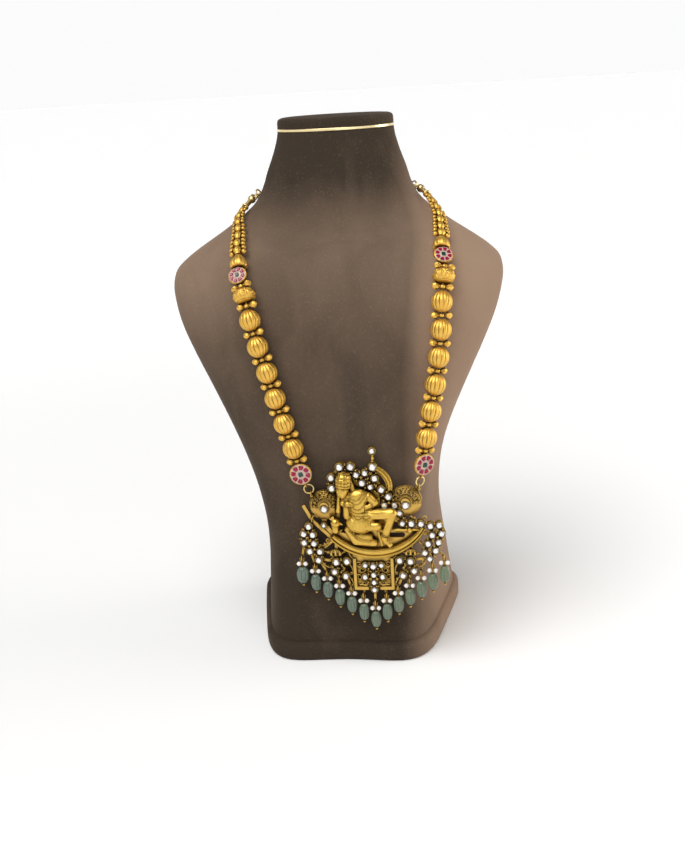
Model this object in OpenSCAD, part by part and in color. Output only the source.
// Temple jewellery necklace draped on a plain velvet neck bust.
// The front faces -Y, +X is to the right seen from the front, +Z is up.
// The origin lies on the table, under the middle of the whole piece.

/* [Neck bust] */
// Overall height of the bust
bust_h = 301; // [270:1:330]
// Width across the shoulders
shoulder_w = 185; // [170:1:200]
// Depth of the torso just above the foot
base_d = 107; // [98:1:118]
// Height of the rounded foot
foot_h = 11; // [8:0.5:13]
// How far the foot stands out all round
foot_out = 3; // [2:0.5:5]
// Height of the rounded cap on the neck
cap_h = 5.5; // [4:0.5:8]
// Thickness of the gold strip under the cap
strip_t = 1.5; // [1:0.1:2.5]
// How far the gold strip stands out of the velvet
strip_out = 0.4; // [0.2:0.1:0.8]

/* [Strings] */
// Diameter of a ribbed ball
ball_d = 11.5; // [10:0.1:12.2]
// Diameter of the thread
thread_d = 0.8; // [0.6:0.1:1]
// Diameter of the bores that the thread runs through
bore_d = 1.7; // [1.4:0.1:2]
// Free run between two neighbouring balls, where a spacer sits
spacer_run = 3.1; // [2.8:0.1:4]
// Width of the carved ball
carved_d = 12.2; // [10.5:0.1:13]
// Height of the carved ball along the string
carved_h = 7.8; // [7:0.1:9]
// Diameter of the rosettes next to the pendant
rosette_low_d = 12; // [10.5:0.1:13]
// Diameter of the rosettes near the shoulders
rosette_high_d = 10; // [9:0.1:11]
// Thickness of a rosette's plate
rosette_t = 1.4; // [1.2:0.1:1.8]
// Width of the bell bead above the high rosette
bell_d = 9.6; // [8:0.1:10.5]
// Height of the bell bead
bell_h = 8; // [6.5:0.1:9]
// Distance between two beads of the graduated band
band_pitch = 6.3; // [6.2:0.1:7]
// Radius of the largest centre bead of the band
band_r = 2.5; // [2.2:0.05:2.7]
// Diameter of the gold ball at each upper end
end_ball_d = 4.6; // [4:0.1:5.4]
// Run of the small rings between the pendant and the low rosettes
ring_run = 6.9; // [6.7:0.1:7.6]

/* [Back chain and clasp] */
// Radius of a chain link, to the middle of its wire
link_r = 2.6; // [2.2:0.1:3]
// Wire diameter of the chain
link_wire = 1; // [0.8:0.1:1.1]

/* [Pendant] */
// Thickness of the soldered backing plate
plate_t = 1.2; // [1:0.1:1.5]
// Height of the cups that hold the white stones
cup_h = 1.4; // [1.1:0.1:2]
// Radius of an ordinary white stone
stone_r = 1.9; // [1.7:0.05:2]
// Height of the cut stones
stone_h = 1.2; // [1:0.1:1.6]
// Width of the gold wall round a stone
cup_wall = 0.5; // [0.35:0.05:0.6]
// Radius of the left pierced dome
dome_left_r = 8.6; // [8:0.1:9]
// Radius of the right pierced dome
dome_right_r = 8.8; // [8:0.1:9]
// Height of the domes
dome_h = 3.4; // [2.8:0.1:4]
// Thickness of the crescent boat
boat_t = 3; // [2.4:0.1:3.6]
// Reach of the figure's knee in front of the plate
figure_reach = 8.6; // [8:0.1:9.5]

/* [Fringe] */
// Width of a green drop
drop_d = 5.9; // [5.2:0.1:6.1]
// Length of a green drop
drop_l = 10.2; // [9:0.1:11]
// Distance between two drops, side by side
drop_pitch = 6.6; // [6.5:0.1:7]
// Rise from one drop to the next, towards the ends
drop_rise = 4.65; // [4:0.05:5.2]
// Wire diameter of the drop pins
pin_d = 0.7; // [0.6:0.05:0.8]
// Diameter of a pearl
pearl_d = 2.7; // [2.4:0.1:2.9]

/* [Hidden] */

gold = "goldenrod";
old_gold = "darkgoldenrod";
velvet = "rosybrown";
white = "whitesmoke";

// Gap between pieces that rest against each other
lie_gap = 0.3;
set_gap = 0.1;
round_fn = 32;

// Bust sections, as shares: height and half width of the bust's own sizes,
// front, back and hollow of the base depth; squareness and taper are plain numbers
SEC_H = 0;
SEC_W = 1;
SEC_FRONT = 2;
SEC_BACK = 3;
SEC_SQUARE = 4;
SEC_TAPER = 5;
SEC_HOLLOW = 6;
sections = [
    // height, half width, front, back, squareness, taper, hollow
    [0.036, 0.292, 0.495, 0.495, 5.0, 0.18, 0.037],
    [0.133, 0.278, 0.495, 0.450, 4.6, 0.18, 0.037],
    [0.249, 0.268, 0.495, 0.400, 4.2, 0.15, 0.034],
    [0.349, 0.289, 0.495, 0.383, 3.8, 0.10, 0.028],
    [0.449, 0.341, 0.490, 0.374, 3.4, 0.06, 0.019],
    [0.548, 0.411, 0.467, 0.374, 3.0, 0.03, 0.009],
    [0.631, 0.470, 0.439, 0.393, 2.7, 0.00, 0.000],
    [0.691, 0.500, 0.393, 0.411, 2.5, 0.00, 0.000],
    [0.738, 0.497, 0.318, 0.430, 2.4, 0.00, 0.000],
    [0.771, 0.435, 0.243, 0.449, 2.3, 0.00, 0.000],
    [0.804, 0.349, 0.150, 0.467, 2.2, 0.00, 0.000],
    [0.850, 0.254, 0.047, 0.505, 2.2, 0.00, 0.000],
    [0.904, 0.216, -0.037, 0.542, 2.2, 0.00, 0.000],
    [0.957, 0.186, -0.093, 0.579, 2.2, 0.00, 0.000],
    [1.000, 0.176, -0.131, 0.617, 2.2, 0.00, 0.000]
];
around_n = 40;
neck_top = bust_h - cap_h - strip_t;

function sec_slope(j, c) =
    let(last = len(sections) - 1, a = max(j - 1, 0), b = min(j + 1, last))
    (sections[b][c] - sections[a][c]) / (sections[b][SEC_H] - sections[a][SEC_H]);

function sec_row(h) =
    max([for (i = [0 : len(sections) - 2]) sections[i][SEC_H] <= h ? i : 0]);

// One column of the table at height share h, on a smooth curve through the rows
function sec_value(h, c) =
    let(
        i = sec_row(h),
        span = sections[i + 1][SEC_H] - sections[i][SEC_H],
        u = (h - sections[i][SEC_H]) / span,
        a = sections[i][c],
        b = sections[i + 1][c],
        ma = sec_slope(i, c) * span,
        mb = sec_slope(i + 1, c) * span
    )
    (2 * u * u * u - 3 * u * u + 1) * a + (u * u * u - 2 * u * u + u) * ma
    + (3 * u * u - 2 * u * u * u) * b + (u * u * u - u * u) * mb;

function power(v, e) = sign(v) * pow(abs(v), e);

// A point of the velvet at angle a (0 is the front, 90 is +X) and height share h
function skin(a, h, grow = 0) =
    let(
        w = sec_value(h, SEC_W) * shoulder_w + grow,
        f = sec_value(h, SEC_FRONT) * base_d + grow,
        b = sec_value(h, SEC_BACK) * base_d + grow,
        e = 2 / sec_value(h, SEC_SQUARE),
        side = power(sin(a), e),
        front = power(cos(a), e),
        hollow = cos(a) > 0 ? sec_value(h, SEC_HOLLOW) * base_d * pow(1 - side * side, 2) : 0
    )
    [
        w * side * (1 - sec_value(h, SEC_TAPER) * front),
        (b - f) / 2 - (b + f) / 2 * front + hollow,
        h * bust_h
    ];

function unit(v) = v / norm(v);

function skin_normal(a, h) =
    unit(cross(skin(a + 1, h) - skin(a - 1, h), skin(a, h + 0.003) - skin(a, h - 0.003)));

function seat(a, h, lift) = skin(a, h) + skin_normal(a, h) * lift;

// The frontmost line of the torso, which the pendant leans on
front_y = -sec_value(0.133, SEC_FRONT) * base_d;

// How far the middle of the whole piece lies behind the bust's own middle line
back_reach = sec_value(neck_top / bust_h, SEC_BACK) * base_d + strip_out;
plate_lift = lie_gap;
front_reach = -front_y + plate_lift + plate_t + set_gap + figure_reach;
middle_y = (back_reach - front_reach) / 2;

// Lifts of the string's middle line above the velvet
ball_lift = ball_d / 2 + lie_gap;
carved_lift = carved_d / 2 + lie_gap;
rosette_lift = 4.4;
bell_lift = bell_d / 2 + lie_gap;
band_lift = 4;
chain_lift = (link_r + link_wire / 2) * sin(45) + lie_gap + 0.4;
clasp_wire = 1.1;
clasp_ring_r = 3.1;
clasp_lift = clasp_ring_r + clasp_wire / 2 + lie_gap;
eye_lift = plate_lift + 2.6;

// Routes of the two strings from the pendant's eyes to the middle of the back,
// chosen by hand: angle round the bust, height share, lift above the velvet.
// The eyes themselves lie in front of the plate, which bridges the curved velvet
left_route = [
    [-5.8, 0.352, ball_lift],
    [-9, 0.392, ball_lift],
    [-11, 0.441, ball_lift],
    [-13.5, 0.492, ball_lift],
    [-15.5, 0.540, ball_lift],
    [-17, 0.588, ball_lift],
    [-19, 0.630, ball_lift],
    [-21, 0.668, ball_lift],
    [-23, 0.702, carved_lift],
    [-27, 0.734, rosette_lift],
    [-30, 0.755, bell_lift],
    [-38, 0.779, band_lift],
    [-51, 0.805, band_lift],
    [-66, 0.824, band_lift],
    [-85, 0.846, chain_lift],
    [-105, 0.857, chain_lift],
    [-130, 0.861, chain_lift],
    [-155, 0.859, chain_lift],
    [-180, 0.857, clasp_lift]
];
right_route = [
    [44.4, 0.3645, ball_lift],
    [43.5, 0.403, ball_lift],
    [41, 0.453, ball_lift],
    [39, 0.506, ball_lift],
    [37.5, 0.555, ball_lift],
    [35.5, 0.602, ball_lift],
    [34.5, 0.648, ball_lift],
    [34.5, 0.686, ball_lift],
    [35.5, 0.718, carved_lift],
    [39, 0.750, rosette_lift],
    [44, 0.770, bell_lift],
    [54, 0.791, band_lift],
    [67, 0.812, band_lift],
    [80, 0.832, band_lift],
    [98, 0.850, chain_lift],
    [120, 0.859, chain_lift],
    [150, 0.860, chain_lift],
    [180, 0.857, clasp_lift]
];
route_steps = 10;
// Rows of a route over which the string runs free from the velvet to its eye
free_rows = 5;

function blend4(a, b, c, d, u) =
    0.5 * (2 * b + (c - a) * u + (2 * a - 5 * b + 4 * c - d) * u * u
    + (3 * b - a - 3 * c + d) * u * u * u);

function route_row(route, t) =
    let(last = len(route) - 1, i = min(floor(t), last - 1), u = t - i)
    blend4(route[max(i - 1, 0)], route[i], route[i + 1], route[min(i + 2, last)], u);

function route_rows(route) =
    [for (k = [0 : route_steps * (len(route) - 1)]) route_row(route, k / route_steps)];

function running(points) =
    [
        for (i = 0, s = 0; i < len(points);
            s = s + (i + 1 < len(points) ? norm(points[i + 1] - points[i]) : 0), i = i + 1) s
    ];

// A string as tables of place and outward direction over the length along it
function string_of(route) =
    let(
        rows = route_rows(route),
        pull = front_y - eye_lift - seat(route[0][0], route[0][1], route[0][2])[1],
        points = [
            for (k = [0 : len(rows) - 1])
                seat(rows[k][0], rows[k][1], rows[k][2])
                + [0, pull * max(0, 1 - k / route_steps / free_rows), 0]
        ],
        outs = [for (r = rows) skin_normal(r[0], r[1])],
        s = running(points)
    )
    [
        [for (c = [0 : 2]) [for (i = [0 : len(s) - 1]) [s[i], points[i][c]]]],
        [for (c = [0 : 2]) [for (i = [0 : len(s) - 1]) [s[i], outs[i][c]]]],
        s[len(s) - 1]
    ];

left_string = string_of(left_route);
right_string = string_of(right_route);

function on_string(string, s) = [for (c = [0 : 2]) lookup(s, string[0][c])];
function out_of(string, s) = [for (c = [0 : 2]) lookup(s, string[1][c])];
function along(string, s) = unit(on_string(string, s + 0.6) - on_string(string, s - 0.6));

// Puts a bead on a string: its bore runs along Z and its front faces -Y
module on(string, s) {
    p = on_string(string, s);
    t = along(string, s);
    out = out_of(string, s);
    n = unit(out - t * (out * t));
    x = cross(t, n);
    multmatrix([
        [x[0], -n[0], t[0], p[0]],
        [x[1], -n[1], t[1], p[1]],
        [x[2], -n[2], t[2], p[2]],
        [0, 0, 0, 1]
    ])
        children();
}

// Places along a string, from the pendant's eye upwards
ball_n = 6;
band_n = 7;
// Run beside the carved ball, which is fuller at its ends than a ribbed one
carved_run = spacer_run + 1;
sleeve_l = 7;
sleeve_d = 2.8;
rosette_low_s = ring_run + rosette_low_d / 2;
first_ball_s = rosette_low_s + rosette_low_d / 2 + spacer_run + ball_d / 2;
ball_pitch = ball_d + spacer_run;
last_ball_s = first_ball_s + (ball_n - 1) * ball_pitch;
carved_s = last_ball_s + ball_d / 2 + carved_run + carved_h / 2;
rosette_high_s = carved_s + carved_h / 2 + carved_run + rosette_high_d / 2;
bell_s = rosette_high_s + rosette_high_d / 2 + 2 * lie_gap + bell_h / 2;
band_first_s = bell_s + bell_h / 2 + lie_gap + band_pitch / 2;
band_last_s = band_first_s + (band_n - 1) * band_pitch;
donut_r = 1.5;
donut_wire = 1.2;
donut_s = band_last_s + band_pitch / 2 + lie_gap + donut_wire / 2;
sleeve_s = donut_s + donut_wire / 2 + lie_gap + sleeve_l / 2;
end_ball_s = sleeve_s + sleeve_l / 2 + lie_gap + end_ball_d / 2;

// Eyes and rings that carry one another
eye_r = 1.25;
eye_wire = 0.7;
ring_gap = 0.2;
end_ring_wire = 0.8;
eye_out = eye_r + eye_wire / 2 - 0.25;
eye_dip = 0.3;
rosette_eye_s = ring_run + eye_dip - eye_out;
end_ring_s = rosette_eye_s / 2;
end_ring_r = end_ring_s - (eye_r - eye_wire / 2 - end_ring_wire / 2 - ring_gap);
chain_eye_r = 1.8;
// How far the first link hangs back in the eye
link_play = 0.2;
chain_eye_out = chain_eye_r + eye_wire / 2 - 0.25;
chain_eye_s = end_ball_s + end_ball_d / 2 + chain_eye_out;
chain_first_s = chain_eye_s + link_r - link_play;
clasp_eye_r = 1.9;
hook_r = 2.2;
hook_x = 4.6;
clasp_eye_x = -5;
clasp_ring_x = hook_x + hook_r - clasp_wire + clasp_ring_r - set_gap - 0.1;

module torus(r, wire) {
    rotate_extrude($fn = round_fn)
        translate([r, 0])
            circle(d = wire, $fn = 16);
}

// A closed ring mesh: rows of points, each row a loop, the last row joined to the first
module loop_mesh(rows, closed = false) {
    n = len(rows[0]);
    m = len(rows);
    points = [for (row = rows) for (p = row) p];
    sides = [
        for (j = [0 : closed ? m - 1 : m - 2])
            for (i = [0 : n - 1])
                let(
                    a = j * n + i,
                    b = j * n + (i + 1) % n,
                    c = ((j + 1) % m) * n + (i + 1) % n,
                    d = ((j + 1) % m) * n + i
                )
                each [[a, c, b], [a, d, c]]
    ];
    ends = closed ? [] : [[for (i = [0 : n - 1]) i], [for (i = [n - 1 : -1 : 0]) (m - 1) * n + i]];
    polyhedron(points = points, faces = concat(sides, ends), convexity = 6);
}

function bust_ring(h, grow = 0) =
    [for (i = [0 : around_n - 1]) skin(i * 360 / around_n, h, grow)];

function at_height(ring, z) = [for (p = ring) [p[0], p[1], z]];

// Neck bust

torso_steps = 2;

module bust() {
    low = foot_h / bust_h;
    high = neck_top / bust_h;
    inner = [
        for (i = [0 : len(sections) - 2])
            for (k = [0 : torso_steps - 1])
                let(h = sections[i][SEC_H]
                    + (sections[i + 1][SEC_H] - sections[i][SEC_H]) * k / torso_steps)
                if (h > low + 0.004 && h < high - 0.004) h
    ];
    color(velvet)
        loop_mesh([for (h = concat([low], inner, [high])) bust_ring(h)]);
}

module bust_foot() {
    h = foot_h / bust_h;
    // Height share and share of the overhang, from the table up
    moulding = [[0, 0.6], [0.14, 1], [0.7, 1], [0.92, 0.6], [1, 0]];
    color(velvet)
        loop_mesh([for (m = moulding) at_height(bust_ring(h, foot_out * m[1]), foot_h * m[0])]);
}

module neck_band() {
    h = neck_top / bust_h;
    color(gold)
        loop_mesh([for (k = [0, 1]) at_height(bust_ring(h, strip_out), neck_top + strip_t * k)]);
}

module neck_cap() {
    h = neck_top / bust_h;
    z0 = neck_top + strip_t;
    // Height share and inset of the rounded cap
    rounding = [[0, 0], [0.6, 0], [0.88, -0.8], [1, -2.4]];
    color(velvet)
        loop_mesh([for (r = rounding) at_height(bust_ring(h, r[1]), z0 + cap_h * r[0])]);
}

// Beads of the strings

// A fluted bead with its bore, as rings from the lower to the upper end of the bore
module fluted(r, half_h, bore, flutes, depth, full = 1) {
    n = 2 * flutes;
    cut = asin(bore / 2 / r);
    bends = [-90 + cut, -58, -30, 0, 30, 58, 90 - cut];
    rows = [
        for (j = [0 : len(bends) - 1])
            let(
                end = j == 0 || j == len(bends) - 1,
                flat = end ? bore / 2 : r * power(cos(bends[j]), full),
                z = half_h * sin(bends[j])
            )
            [
                for (i = [0 : n - 1])
                    let(rr = end ? flat : flat * (1 - depth * (i % 2)))
                    [rr * cos(i * 360 / n), rr * sin(i * 360 / n), z]
            ]
    ];
    loop_mesh(rows, closed = true);
}

ball_flutes = 8;
// Bore of the long beads, where the string bends over the chest
wide_bore = bore_d + 0.9;

module ball(string, i) {
    color(gold)
        on(string, last_ball_s - (i - 1) * ball_pitch)
            fluted(ball_d / 2, ball_d / 2, bore_d, ball_flutes, 0.09);
}

// A turned bead: half its outline from the lower to the upper end, round a straight bore
module turned(outline, bore) {
    last = len(outline) - 1;
    rotate_extrude($fn = round_fn)
        polygon(concat(
            [[bore / 2, outline[0][1]]], outline, [[bore / 2, outline[last][1]]]
        ));
}

module carved_ball(string) {
    color(gold)
        on(string, carved_s)
            fluted(carved_d / 2, carved_h / 2, wide_bore, 6, 0.12, 0.6);
}

rosette_tube_d = 3.6;
rosette_back = 0.6;
rosette_rim = 0.45;

module rosette(string, s, d, eye) {
    color(gold)
        on(string, s)
            difference() {
                union() {
                    cylinder(d = rosette_tube_d, h = d - 0.8, center = true, $fn = round_fn);
                    translate([0, -rosette_back, 0])
                        rotate([90, 0, 0])
                            cylinder(d = d, h = rosette_t, $fn = round_fn);
                    translate([0, -rosette_back - rosette_t, 0])
                        rotate([90, 0, 0])
                            difference() {
                                cylinder(d = d, h = rosette_rim, $fn = round_fn);
                                translate([0, 0, -1])
                                    cylinder(d = d - 0.9, h = rosette_rim + 2, $fn = round_fn);
                            }
                    if (eye)
                        translate([0, 0, eye_dip - d / 2 - eye_out])
                            rotate([0, 90, 0])
                                torus(eye_r, eye_wire);
                }
                cylinder(d = wide_bore + 0.2, h = d, center = true, $fn = round_fn);
            }
}

// A stone with a table and eight facets, lying in the XZ plane and facing -Y
module cut_stone(r, h) {
    rotate([90, 0, 0])
        cylinder(r1 = r, r2 = r * 0.6, h = h, $fn = 8);
}

petals_n = 8;
rosettes = [
    [left_string, rosette_low_s, rosette_low_d],
    [right_string, rosette_low_s, rosette_low_d],
    [left_string, rosette_high_s, rosette_high_d],
    [right_string, rosette_high_s, rosette_high_d]
];
stone_back = rosette_back + rosette_t + set_gap;

module ruby_stones() {
    color("crimson")
        for (r = rosettes)
            on(r[0], r[1])
                for (i = [0 : petals_n - 1])
                    rotate([0, (i + 0.5) * 360 / petals_n, 0])
                        translate([0, -stone_back, r[2] * 0.33])
                            cut_stone(r[2] * 0.105, 1);
}

module emerald_stones() {
    color("seagreen")
        for (r = rosettes)
            on(r[0], r[1])
                translate([0, -stone_back, 0])
                    cut_stone(r[2] * 0.14, 1.1);
}

spacer_d = spacer_run - 2 * lie_gap;
wing_reach = 5.9;
wing_d = spacer_run + 0.9;
// Half outline of a spacer: its middle bead by shares of its thickness, and the lobe that
// stands beside the balls' ends by shares of the wing's; both by shares of the reach
spacer_middle = [[1, 0], [1, 0.13], [0.76, 0.22]];
spacer_lobe = [[0.68, 0.36], [0.95, 0.5], [1, 0.62], [0.9, 0.78], [0.55, 0.93], [0, 1]];

module spacer() {
    half = concat(
        [for (p = spacer_middle) [p[0] * spacer_d / 2, p[1] * wing_reach]],
        [for (p = spacer_lobe) [p[0] * wing_d / 2, p[1] * wing_reach]]
    );
    last = len(half) - 1;
    difference() {
        rotate([0, 90, 0])
            rotate_extrude($fn = round_fn)
                polygon(concat(
                    [for (i = [last : -1 : 1]) [half[i][0], -half[i][1]]], half
                ));
        cylinder(d = bore_d, h = spacer_d * 2, center = true, $fn = round_fn);
    }
}

spacer_places = concat(
    [for (i = [0 : ball_n - 1]) first_ball_s - ball_pitch / 2 + i * ball_pitch],
    [carved_s - carved_h / 2 - carved_run / 2],
    [carved_s + carved_h / 2 + carved_run / 2]
);

module spacers(string) {
    color(gold)
        for (s = spacer_places)
            on(string, s)
                spacer();
}

// One bead of the band: a larger middle bead with two small ones on each side
module band_bead(r) {
    side_r = r * 0.58;
    difference() {
        union() {
            cylinder(r = bore_d / 2 + 0.4, h = band_pitch - lie_gap, center = true, $fn = round_fn);
            sphere(r, $fn = round_fn);
            for (x = [-1, 1])
                for (z = [-1, 1])
                    translate([x * (r + side_r * 0.6), 0, z * side_r * 1.05])
                        sphere(side_r, $fn = round_fn);
        }
        cylinder(d = bore_d, h = band_pitch * 2, center = true, $fn = round_fn);
    }
}

bell_outline = [[0.55, -0.5], [0.96, -0.36], [1, -0.15], [0.72, 0.2], [0.4, 0.5]];

module bead_band(string) {
    color(gold) {
        on(string, bell_s)
            turned([for (p = bell_outline) [p[0] * bell_d / 2, p[1] * bell_h]], wide_bore);
        for (i = [0 : band_n - 1])
            on(string, band_first_s + i * band_pitch)
                band_bead(band_r * (1 - 0.055 * i));
    }
}

thread_sides = 5;
thread_steps = 48;

function thread_ring(string, s) =
    let(
        p = on_string(string, s),
        t = along(string, s),
        n = unit(cross(t, [1, 0, 0])),
        b = cross(t, n)
    )
    [
        for (i = [0 : thread_sides - 1])
            p + (n * cos(i * 360 / thread_sides) + b * sin(i * 360 / thread_sides)) * thread_d / 2
    ];

module thread(string) {
    from = rosette_low_s - rosette_low_d / 2 + 1;
    to = end_ball_s;
    color("tan")
        loop_mesh([for (k = [0 : thread_steps])
            thread_ring(string, from + (to - from) * k / thread_steps)]);
}

module end_balls() {
    color(gold)
        for (string = [left_string, right_string]) {
            on(string, donut_s)
                torus(donut_r, donut_wire);
            on(string, sleeve_s)
                turned([for (k = [-6 : 6]) [sleeve_d / 2 * (k % 2 == 0 ? 0.86 : 1), k / 12 * sleeve_l]],
                    bore_d);
            on(string, end_ball_s)
                difference() {
                    union() {
                        sphere(d = end_ball_d, $fn = round_fn);
                        translate([0, 0, end_ball_d / 2 + chain_eye_out])
                            rotate([0, 90, 0])
                                torus(chain_eye_r, eye_wire);
                    }
                    translate([0, 0, -end_ball_d])
                        cylinder(d = bore_d, h = end_ball_d + 1, $fn = round_fn);
                }
        }
}

module end_links() {
    color(gold)
        for (string = [left_string, right_string])
            on(string, end_ring_s)
                rotate([90, 0, 0])
                    torus(end_ring_r, end_ring_wire);
}

// Back chain and clasp

back_at = on_string(left_string, left_string[2]);
chain_reach = link_r - clasp_wire / 2 - link_wire / 2 - 0.5;

// The place on a string where a link reaches a part of the clasp
function meet_s(string, x, reach) =
    min([
        for (k = [0 : 200])
            let(s = string[2] - 20 + k / 10)
            norm(on_string(string, s) - back_at - [x, 0, 0]) < reach ? s : string[2]
    ]);

link_pitch_max = 2 * link_r - link_wire - set_gap;

module chain_half(string, last_s) {
    run = last_s - chain_first_s;
    n = ceil(run / link_pitch_max);
    for (i = [0 : n])
        on(string, chain_first_s + run * i / n)
            // Turned in step from the clasp's end, which it meets the same way at any length
            rotate([0, 0, 135 - 90 * ((n - i) % 2)])
                rotate([90, 0, 0])
                    torus(link_r, link_wire);
}

module back_chain() {
    color(old_gold) {
        chain_half(left_string, meet_s(left_string, clasp_eye_x, clasp_eye_r + chain_reach));
        chain_half(right_string, meet_s(right_string, clasp_ring_x, clasp_ring_r + chain_reach));
    }
}

// The middle of the back, with X along the chain from left to right
module at_back() {
    translate(back_at)
        children();
}

module clasp_hook() {
    color(gold)
        at_back() {
            translate([clasp_eye_x, 0, 0])
                rotate([90, 0, 0])
                    torus(clasp_eye_r, clasp_wire);
            translate([clasp_eye_x + clasp_eye_r, 0, 0])
                rotate([0, 90, 0])
                    cylinder(d = clasp_wire, h = hook_x - hook_r - clasp_eye_x - clasp_eye_r,
                        $fn = 24);
            translate([hook_x, 0, 0])
                rotate([90, 0, 0])
                    rotate([0, 0, -60])
                        rotate_extrude(angle = 240, $fn = round_fn)
                            translate([hook_r, 0])
                                circle(d = clasp_wire, $fn = 16);
        }
}

module clasp_ring() {
    color(gold)
        at_back()
            translate([clasp_ring_x, 0, 0])
                torus(clasp_ring_r, clasp_wire);
}

// Pendant, drawn in its own frame: X to the right, Z up, the plate's back at Y = 0

// Height of the eyes above the pendant's middle
eye_h = 24.9;
eye_left = on_string(left_string, 0);
eye_right = on_string(right_string, 0);
pendant_at = [
    (eye_left[0] + eye_right[0]) / 2,
    front_y - plate_lift,
    (eye_left[2] + eye_right[2]) / 2 - eye_h
];
casting_y = plate_t + set_gap;
cup_r = stone_r + cup_wall;
cup_flange = 0.08;

module in_pendant() {
    translate(pendant_at)
        children();
}

// Turns a flat outline in X and Z into a layer that starts t in front of the plate's back
module layer(t, h) {
    translate([0, -t, 0])
        rotate([90, 0, 0])
            linear_extrude(h)
                children();
}

// A straight bar between two points of the flat outline
module bar(a, b, w) {
    d = b - a;
    translate(a)
        rotate(atan2(d[1], d[0]))
            translate([0, -w / 2])
                square([norm(d), w]);
}

// Places of the white stones, chosen by hand: across, up, share of the ordinary radius
// and, for the stones on the domes, how much higher they stand
crest = [
    [-18.2, 26, 1], [-18.2, 32.2, 1], [-13.2, 38.2, 1.1], [-7.2, 38.4, 1.1], [-4.4, 33.6, 0.9],
    [0.4, 34.6, 0.9], [4.8, 38, 1.1], [5.6, 31.4, 1], [-1.4, 28.8, 1], [3, 26.4, 0.8],
    [9, 24.8, 1], [12.6, 20.6, 1], [10.2, 15.4, 0.95], [15.9, 15.6, 0.95],
    [18.4, 11, 0.9], [19.6, 4.8, 0.9], [24.6, 4.5, 1], [29.9, 4.3, 0.95]
];
spire_top = [4.9, 47.2];
dome_left = [-22.8, 15.8];
dome_right = [22, 17.6];
dome_stone_rise = 2.6;
dome_stones = [[-22.8, 14.8, 1.05, dome_stone_rise], [22, 16.4, 1.05, dome_stone_rise]];
tail_stone = [-24, 4, 0.65];
left_fan = [
    [-32.6, 3.4, 0.95], [-35.6, -1, 0.95], [-30.6, -1.6, 0.95], [-35.6, -6.2, 0.95],
    [-30.2, -6.8, 0.95], [-32.8, -11.6, 0.95], [-27.2, -11.8, 0.95], [-28.2, -17, 0.95]
];
right_fan = [
    [35, 3, 0.95], [39.8, 3.4, 0.95], [35.8, -2.4, 0.95], [41, -1.6, 0.95],
    [39.2, -6.8, 0.95], [33.4, -7.6, 0.95], [37.4, -11.8, 0.95], [31.4, -13, 0.95],
    [34, -16.6, 0.9]
];
lower_left = [[-18.4, -18.4, 1], [-12.4, -18, 1], [-19.6, -24.2, 0.95], [-13.4, -27, 0.95]];
lower_right = [[17.2, -17.6, 1], [23.2, -18.2, 1], [25, -24, 0.95], [18.8, -26.8, 0.95]];
plaque_stones = [
    [-2.2, -20.4, 0.8], [2.3, -21, 1], [6.8, -20.4, 0.8], [-2.6, -27.6, 0.85],
    [2.3, -26.4, 0.85], [7.2, -27.6, 0.85], [2.3, -31, 0.8], [2.3, -35.4, 0.85]
];
crest_all = concat(crest, [concat(spire_top, [0.85]), tail_stone], dome_stones);
fringe_all = concat(left_fan, right_fan, lower_left, lower_right, plaque_stones);

function spot(s) = [s[0], s[1]];
function rise(s) = len(s) > 3 ? s[3] : 0;

// Boat: the crescent between two circles, cut off at its two ends
boat_at = [4, 16.2];
boat_r = 31.8;
boat_inner_r = 32;
boat_inner_rise = 4.9;
boat_left_x = -20.6;
boat_right_x = 32.4;
boat_top_z = 1.4;
boat_rim = 0.9;

module boat_outline(inset = 0) {
    intersection() {
        difference() {
            translate(boat_at)
                circle(boat_r - inset, $fn = 96);
            translate([boat_at[0], boat_at[1] + boat_inner_rise])
                circle(boat_inner_r + inset, $fn = 96);
        }
        translate([boat_left_x, -40])
            square([boat_right_x - boat_left_x, boat_top_z + 40]);
    }
}

// Drops hang in a V from eyes below the plate
drop_side_n = 6;
drop_mid_x = 2.3;
drop_low_z = -54;
pin_drop = 10.2;
fringe_t = 2.3;

function drop_place(i) =
    [drop_mid_x + (i - drop_side_n) * drop_pitch - (i == 0 ? 0.5 : 0), drop_low_z + abs(i - drop_side_n) * drop_rise];
function pin_place(i) = drop_place(i) + [0, pin_drop];

// What each drop's eye is soldered to, from the left end to the right end
carriers = [
    [-35.6, -6.2], [-32.8, -11.6], [-28.2, -17], [-19.6, -24.2], [-13.4, -27],
    [-3, -34], [2.3, -35.4], [7.6, -34], [18.8, -26.8], [25, -24],
    [31.6, -13], [34.4, -17.4], [37.4, -11.8]
];

// Bars that hold neighbouring stones together, as pairs of places in the flat outline
module joined(list, w = 1.4) {
    for (i = [0 : len(list) - 2])
        bar(spot(list[i]), spot(list[i + 1]), w);
}

plaque_w = 23;
plaque_top = -16.4;
plaque_low = -36;
// Round openings of the plaque: distance from its middle line, height, radius
scroll_holes = [[6.6, -24.2, 1.4], [8.2, -20.6, 1.1], [8.4, -28.4, 1.2], [5.4, -32.2, 1.2]];
comb_x = [-18.6, 23.4];
comb_z = -13.8;
// Seat of the figure, a little smaller than its outline
behind_figure = [
    [-4, -12], [7, -12], [10, -8], [10.6, 2], [16, 11], [13.6, 14], [8, 14.8], [7.4, 22],
    [2, 26], [-5, 30], [-8, 35], [-12, 34], [-13.4, 27], [-12.6, 19], [-8, 16], [-8, 12],
    [-10, 8], [-10.6, 3], [-11, -3], [-8, -8]
];
tail_top = [-35, 15.5];
tail_low = [-20, -4.5];

// Half the width of the gaps between neighbouring cups that the plate closes
web = 0.9;

module filled(w) {
    offset(delta = -w)
        offset(delta = w)
            children();
}

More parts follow.
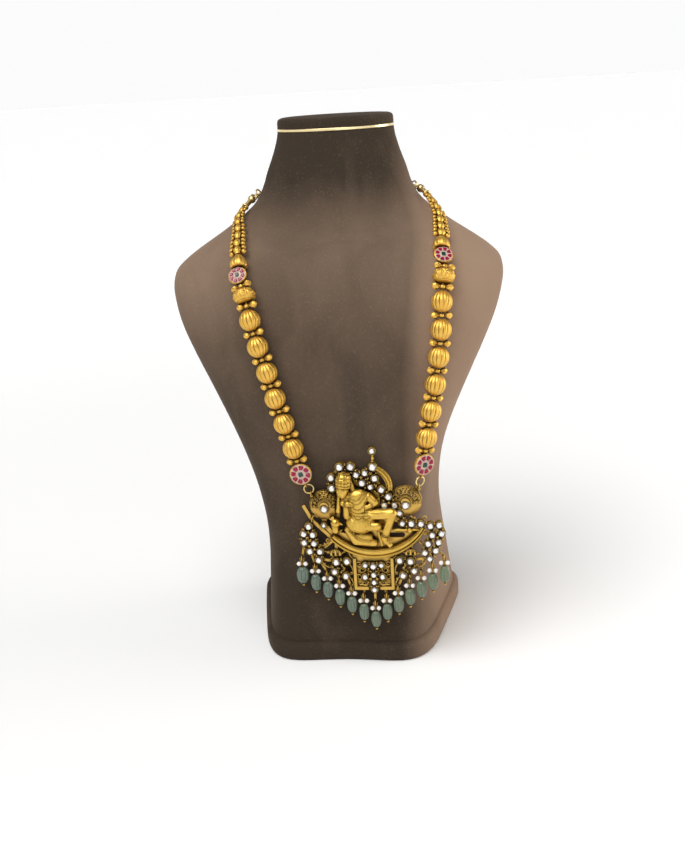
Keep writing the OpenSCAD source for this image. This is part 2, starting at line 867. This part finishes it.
// Slot and opening in the plate inside the boat: middle across and up, length, height
bowl_slot = [16, -2.7, 9.6, 3];
bowl_hole = [-13, -1, 3.6, 3.4];

module bowl_opening(o) {
    translate([o[0], o[1]])
        hull()
            for (side = [-1, 1])
                translate([side * (o[2] - o[3]) / 2, 0])
                    circle(d = o[3], $fn = round_fn);
}

// Plate between the boat's rail, the figure and the hull
module boat_bowl() {
    difference() {
        intersection() {
            translate(boat_at)
                circle(boat_r - boat_rim, $fn = 96);
            union() {
                translate([8, -20])
                    square([boat_right_x - 10, 20.6]);
                translate([boat_left_x + 1.6, -20])
                    square([14, 20.6]);
            }
        }
        bowl_opening(bowl_slot);
        bowl_opening(bowl_hole);
    }
}

module plate_outline() {
    difference() {
        union() {
            for (list = [crest, left_fan, right_fan, lower_left, lower_right, plaque_stones])
                filled(web)
                    for (s = list)
                        translate(spot(s))
                            circle(cup_r * s[2] + cup_flange, $fn = round_fn);
            for (s = concat([concat(spire_top, [0.85]), tail_stone], dome_stones))
                translate(spot(s))
                    circle(cup_r * s[2] + cup_flange, $fn = round_fn);
            boat_bowl();
            joined([crest[0], crest[1], crest[2], crest[3], crest[4], crest[5], crest[6]]);
            joined([crest[4], crest[8], crest[9], crest[10], crest[11], crest[13]]);
            joined([crest[5], crest[7], crest[10]]);
            joined([crest[12], crest[13], crest[14], crest[15], crest[16], crest[17]]);
            joined([crest[17], right_fan[0], right_fan[2], right_fan[5], right_fan[7], right_fan[8]]);
            joined([right_fan[0], right_fan[1], right_fan[3], right_fan[4], right_fan[6], right_fan[8]]);
            joined([left_fan[0], left_fan[1], left_fan[3], left_fan[5], left_fan[7]]);
            joined([left_fan[0], left_fan[2], left_fan[4], left_fan[6], left_fan[7]]);
            joined([lower_left[1], lower_left[0], lower_left[2], lower_left[3]]);
            joined([lower_right[0], lower_right[1], lower_right[2], lower_right[3]]);
            joined([left_fan[7], lower_left[0]]);
            joined([right_fan[8], lower_right[1]]);
            bar(spot(crest[6]), spire_top, 1.2);
            polygon(behind_figure);
            bar(spot(crest[0]), [-12, 24], 2.4);
            bar([14, 8], spot(crest[15]), 3);
            // Straps beside the figure and down to the boat
            bar([-17.5, -1], [-16.5, 7], 3);
            bar([-16.5, 7], [-14, 24], 2.2);
            bar(spot(crest[14]), dome_right, 3);
            bar(spot(crest[15]), [19.6, 0], 2);
            bar(spot(crest[16]), [24.6, 0], 2);
            boat_outline();
            bar([-20, -2], [-10, -4], 4);
            // Small combs above the lower stones
            for (x = comb_x)
                bar([x - 3.4, comb_z], [x + 3.4, comb_z], 2);
            translate([drop_mid_x - plaque_w / 2, plaque_low])
                square([plaque_w, plaque_top - plaque_low + 6]);
            bar([-9, -18], spot(lower_left[1]), 2);
            bar([13.6, -18], spot(lower_right[0]), 2);
            bar([-18, -8], spot(lower_left[0]), 1.6);
            bar([24, -8], spot(lower_right[1]), 1.6);
            bar([-20, -6], spot(left_fan[6]), 1.6);
            bar([30, -2], spot(right_fan[2]), 1.6);
            // Tail of the bird, from the boat up to the left tip
            bar(tail_low, [-30.5, 6.5], 1.8);
            bar([-30.5, 6.5], tail_top, 1.8);
            // Seats of the domes
            translate(dome_left)
                circle(dome_left_r, $fn = 64);
            translate(dome_right)
                circle(dome_right_r, $fn = 64);
            bar(dome_left, spot(tail_stone), 2.4);
            bar(spot(tail_stone), [-19, -2], 2.4);
            // Arms of the eyes
            bar(dome_left, flat(eye_left), 2);
            bar(dome_right, flat(eye_right), 2);
            for (i = [0 : 2 * drop_side_n])
                bar(carriers[i], pin_place(i), 1.2);
        }
        // Open windows behind the pierced upper halves of the domes
        for (d = [dome_left, dome_right])
            translate(d)
                difference() {
                    circle(dome_right_r - 1.8, $fn = round_fn);
                    circle(4, $fn = round_fn);
                    translate([-10, -10])
                        square([20, 10.5]);
                }
        // Openwork of the plaque
        for (h = scroll_holes)
            for (side = [-1, 1])
                translate([drop_mid_x + side * h[0], h[1]])
                    circle(h[2], $fn = round_fn);
    }
}

bar_raise = 1;

// A point of the bust's frame in the flat outline's X and Z
function flat(p) = [p[0] - pendant_at[0], p[2] - pendant_at[2]];

module pendant_plate() {
    color(old_gold)
        in_pendant() {
            layer(0, plate_t)
                plate_outline();
            for (s = concat(crest_all, fringe_all))
                translate([s[0], -plate_t, s[1]])
                    rotate([90, 0, 0])
                        cylinder(r = cup_r * s[2], h = cup_h + rise(s), $fn = round_fn);
            // Raised bars of the plaque
            for (x = [-1, 1])
                translate([drop_mid_x + x * 7.2 - 3.9, -plate_t - bar_raise, plaque_low + 0.2])
                    cube([7.8, bar_raise, 1.8]);
            for (x = [-1, 1])
                translate([drop_mid_x + x * (plaque_w / 2 - 1) - 0.8, -plate_t - bar_raise, plaque_low + 0.4])
                    cube([1.6, bar_raise, plaque_top - plaque_low - 0.6]);
            for (h = scroll_holes)
                for (side = [-1, 1])
                    translate([drop_mid_x + side * h[0], -plate_t, h[1]])
                        rotate([90, 0, 0])
                            torus(h[2] + 0.55, 0.8);
            for (x = comb_x)
                for (k = [-1 : 1])
                    translate([x + k * 2.4 - 0.5, -plate_t - bar_raise, comb_z - 0.8])
                        cube([1, bar_raise, 3 - abs(k)]);
            // Eyes of the strings and of the drops
            for (e = [eye_left, eye_right])
                translate([e[0], e[1], e[2]] - pendant_at)
                    rotate([0, 90, 0])
                        torus(eye_r, eye_wire);
            for (e = [eye_left, eye_right])
                translate([flat(e)[0], 0, flat(e)[1] - 1.6])
                    rotate([90, 0, 0])
                        cylinder(d = 1.6, h = eye_lift - plate_lift, $fn = round_fn);
            for (i = [0 : 2 * drop_side_n])
                translate([pin_place(i)[0], -fringe_t, pin_place(i)[1]])
                    rotate([0, 90, 0])
                        torus(eye_r, eye_wire);
        }
}

module boat() {
    color(gold)
        in_pendant() {
            layer(casting_y, boat_t)
                boat_outline();
            // Raised outer rim
            layer(casting_y, boat_t + 0.7)
                difference() {
                    boat_outline();
                    translate(boat_at)
                        circle(boat_r - boat_rim, $fn = 96);
                }
            // Rail along the top right, with its knob
            layer(casting_y, 1.8)
                bar([14.8, 0.3], [30, 0.3], 1.7);
            translate([23.6, -casting_y, 0.3])
                rotate([90, 0, 0])
                    cylinder(d = 3, h = 2.6, $fn = round_fn);
        }
}

// Castings: rounded limbs between two places given as across, forward and up

limb_fn = 10;

module place(p) {
    translate([p[0], -p[1], p[2]])
        children();
}

module limb(a, b, ra, rb) {
    hull() {
        place(a)
            sphere(ra, $fn = limb_fn);
        place(b)
            sphere(rb, $fn = limb_fn);
    }
}

module blob(at, size) {
    place(at)
        scale([size[0], size[1], size[2]])
            sphere(1, $fn = limb_fn);
}

// Cuts a casting flat where it lies on the plate
module on_plate() {
    translate([0, -casting_y, 0])
        intersection() {
            children();
            translate([-40, -20, -40])
                cube([80, 20, 90]);
        }
}

knee_r = 2.9;

module figure() {
    color(gold)
        in_pendant()
            on_plate() {
                // Tall rounded crown, head bent to the left, neck
                limb([-11, 4.2, 29.2], [-10.8, 3.8, 32.2], 4.4, 3.5);
                blob([-11.9, 5, 25.2], [3.8, 3.8, 4.2]);
                limb([-9.6, 3.8, 22.6], [-6, 3.2, 21], 2.6, 3);
                // Chest and shoulders
                blob([-4, 3.2, 21], [7, 4.2, 4.8]);
                limb([-3.9, 3, 18.6], [-3.4, 2.8, 11], 5.1, 4.9);
                limb([-8.4, 2.8, 22.4], [-11.8, 4, 18.6], 2.9, 2.1);
                limb([-12, 5, 18.2], [-4.4, 6.4, 17.6], 1.9, 1.5);
                limb([1.8, 3.2, 21], [5.4, 3.4, 17.6], 2.8, 2.1);
                limb([5.2, 3.6, 17.2], [-1.4, 5.8, 15], 1.9, 1.5);
                // Robe falling behind the left arm
                limb([-14, 1.2, 24], [-15.4, 1.2, 12], 1.3, 1.6);
                limb([-10.2, 1.8, 18], [-10.4, 1.8, 9.6], 2.3, 2.6);
                // Belt, belly and hips
                limb([-7, 4.6, 12.8], [1, 5.2, 12.6], 1.2, 1.2);
                blob([-3, 3, 5.6], [8.4, 4.6, 6]);
                // Raised leg
                limb([-1, 3.8, 11], [14.6, figure_reach - knee_r, 12.2], 3.3, knee_r);
                limb([14.6, figure_reach - knee_r, 12.2], [9.6, 4, -3.4], knee_r, 1.9);
                limb([9.6, 3.6, -4.6], [12.4, 4, -7.4], 1.5, 1.1);
                // Folded leg with its knee, folds of the skirt
                limb([-6.6, 4.4, 4.4], [6, 4.6, 4.4], 3, 2.8);
                limb([-0.7, 7, 7.4], [-0.8, 6.6, 0.6], 0.8, 0.7);
                limb([-0.6, 6.4, 11.2], [4.6, 7, 7.6], 1, 1);
                // Sash ends above the boat
                limb([-10.6, 2.2, 1.4], [-6.2, 2.6, -5.2], 2.1, 2.6);
                limb([-6.2, 2.6, -5.2], [3.8, 2.4, -6.6], 2.6, 2.2);
                blob([-3.4, 2, -3.4], [6.6, 2.6, 3.4]);
                limb([6.6, 2.6, 0.4], [8, 2.8, -7.6], 1.2, 0.9);
            }
}

module bird() {
    color(gold)
        in_pendant()
            on_plate() {
                blob([-17.2, 2.8, 5.6], [2.9, 2.6, 2.9]);
                limb([-15.6, 3.2, 6.2], [-13.4, 2.8, 4.6], 1, 0.5);
                limb([-17.6, 2.2, 4], [-17.2, 1.8, 0.4], 2.3, 1.7);
                limb([-18, 3.4, 7.4], [-19.4, 3.8, 9.6], 0.8, 0.5);
            }
}

dome_boss_r = 3.1;
dome_wall = 0.8;
slots_n = 9;

// A dome: a thin cap round a boss, its upper half pierced by slots
module pierced_dome(r) {
    ball_r = (r * r + dome_h * dome_h) / (2 * dome_h);
    difference() {
        union() {
            intersection() {
                translate([0, ball_r - dome_h, 0])
                    difference() {
                        sphere(ball_r, $fn = 96);
                        sphere(ball_r - dome_wall, $fn = 96);
                    }
                rotate([90, 0, 0])
                    cylinder(r = r, h = dome_h + 1, $fn = 64);
            }
            translate([0, 0, 0.6])
                rotate([90, 0, 0])
                    cylinder(r1 = dome_boss_r, r2 = dome_boss_r - 0.7, h = dome_h + 0.9, $fn = round_fn);
        }
        for (i = [0 : slots_n - 1])
            rotate([0, 80 - i * 160 / (slots_n - 1), 0])
                translate([-0.5, -dome_h - 1, r * 0.5])
                    cube([1, dome_h + 2, r * 0.34]);
    }
}

// Room for the cups of the crest that stand on a dome's seat
module cup_room(list) {
    for (s = list)
        translate([s[0], 0, s[1]])
            rotate([90, 0, 0])
                cylinder(r = cup_r * s[2] + cup_flange + set_gap, h = 20, $fn = round_fn);
}

module domes() {
    color(old_gold)
        in_pendant()
            difference() {
                union() {
                    translate([dome_left[0], -casting_y, dome_left[1]])
                        pierced_dome(dome_left_r);
                    translate([dome_right[0], -casting_y, dome_right[1]])
                        pierced_dome(dome_right_r);
                }
                cup_room(concat([crest[11], crest[13], crest[14]], dome_stones));
                for (e = [eye_left, eye_right])
                    translate([flat(e)[0], 0, flat(e)[1] - 1.6])
                        rotate([90, 0, 0])
                            cylinder(r = 1.05, h = 20, $fn = round_fn);
                // The robe hides the left dome's inner edge
                translate([-17.2, -20, 0])
                    cube([10, 30, 40]);
                // The row of stones and the raised knee hide the right dome's inner edge
                translate([dome_right[0] - 16, -20, dome_right[1] - 12])
                    cube([16 - 5.6, 30, 24]);
            }
}

module feather() {
    color(gold)
        in_pendant()
            layer(casting_y, 1.6)
                difference() {
                    translate([2.2, 26])
                        circle(12.9, $fn = 64);
                    translate([0, 24.6])
                        circle(11.8, $fn = 64);
                    translate([-20, 0])
                        square([26.4, 60]);
                    translate([0, 0])
                        square([40, 25.4]);
                    for (s = [crest[6], crest[7], crest[10], crest[11]])
                        translate(spot(s))
                            circle(cup_r * s[2] + set_gap, $fn = round_fn);
                }
}

module spire() {
    low = crest[6][1] + cup_r * crest[6][2] + set_gap;
    high = spire_top[1] - cup_r * 0.85 - set_gap;
    color(gold)
        in_pendant()
            translate([spire_top[0], -casting_y - 0.8, low])
                cylinder(d = 1.6, h = high - low, $fn = round_fn);
}

module white_stones(list) {
    color(white)
        in_pendant()
            for (s = list)
                translate([s[0], -plate_t - cup_h - rise(s) - set_gap, s[1]])
                    cut_stone(stone_r * s[2], stone_h);
}

module crest_stones() {
    white_stones(crest_all);
}

module fringe_stones() {
    white_stones(fringe_all);
}

// Fringe

pearl_z = drop_l / 2 + pearl_d / 2 + lie_gap;
pearl_x = pearl_d / 2 + pin_d / 2 + set_gap;
cross_d = pin_d * 0.8;
loop_r = 1;
loop_wire = 0.5;
big_drop = 1.2;

module at_drop(i) {
    p = drop_place(i);
    in_pendant()
        translate([p[0], -fringe_t, p[1]])
            children();
}

module drop(i) {
    wide = i == 0 ? big_drop : 1;
    color("mediumseagreen")
        at_drop(i)
            fluted(drop_d / 2 * wide, drop_l / 2, pin_d + 0.5, 8, 0.1, 0.75);
}

module drop_pins() {
    loop_z = pin_drop - eye_r + eye_wire / 2 + set_gap + loop_wire / 2 - loop_r;
    color(gold)
        for (i = [0 : 2 * drop_side_n])
            at_drop(i) {
                translate([0, 0, -drop_l / 2 - 0.8])
                    cylinder(d = pin_d, h = drop_l / 2 + 0.8 + loop_z - loop_r, $fn = 16);
                translate([0, 0, -drop_l / 2 - 0.9])
                    sphere(0.8, $fn = 16);
                translate([0, 0, pearl_z])
                    rotate([0, 90, 0])
                        cylinder(d = cross_d, h = 2 * (pearl_x + pearl_d / 2 + 0.3),
                            center = true, $fn = 16);
                translate([0, 0, loop_z])
                    rotate([90, 0, 0])
                        torus(loop_r, loop_wire);
            }
}

module pearls() {
    color("ivory")
        for (i = [0 : 2 * drop_side_n])
            at_drop(i)
                for (side = [-1, 1])
                    translate([side * pearl_x, 0, pearl_z])
                        rotate([0, 90, 0])
                            difference() {
                                sphere(d = pearl_d, $fn = round_fn);
                                cylinder(d = cross_d + 0.3, h = pearl_d * 2, center = true, $fn = 16);
                            }
}

translate([0, -middle_y, 0]) {
    bust();
    bust_foot();
    neck_band();
    neck_cap();
    ball(left_string, 1);  // ball_l1
    ball(left_string, 2);  // ball_l2
    ball(left_string, 3);  // ball_l3
    ball(left_string, 4);  // ball_l4
    ball(left_string, 5);  // ball_l5
    ball(left_string, 6);  // ball_l6
    ball(right_string, 1);  // ball_r1
    ball(right_string, 2);  // ball_r2
    ball(right_string, 3);  // ball_r3
    ball(right_string, 4);  // ball_r4
    ball(right_string, 5);  // ball_r5
    ball(right_string, 6);  // ball_r6
    carved_ball(left_string);  // carved_ball_l
    carved_ball(right_string);  // carved_ball_r
    rosette(left_string, rosette_low_s, rosette_low_d, true);  // rosette_low_l
    rosette(right_string, rosette_low_s, rosette_low_d, true);  // rosette_low_r
    rosette(left_string, rosette_high_s, rosette_high_d, false);  // rosette_high_l
    rosette(right_string, rosette_high_s, rosette_high_d, false);  // rosette_high_r
    ruby_stones();
    emerald_stones();
    spacers(left_string);  // spacers_l
    spacers(right_string);  // spacers_r
    bead_band(left_string);  // bead_band_l
    bead_band(right_string);  // bead_band_r
    thread(left_string);  // thread_l
    thread(right_string);  // thread_r
    end_balls();
    end_links();
    back_chain();
    clasp_hook();
    clasp_ring();
    pendant_plate();
    boat();
    figure();
    bird();
    domes();
    feather();
    spire();
    crest_stones();
    fringe_stones();
    pearls();
    drop_pins();
    drop(0);  // drop_1
    drop(1);  // drop_2
    drop(2);  // drop_3
    drop(3);  // drop_4
    drop(4);  // drop_5
    drop(5);  // drop_6
    drop(6);  // drop_7
    drop(7);  // drop_8
    drop(8);  // drop_9
    drop(9);  // drop_10
    drop(10);  // drop_11
    drop(11);  // drop_12
    drop(12);  // drop_13
}
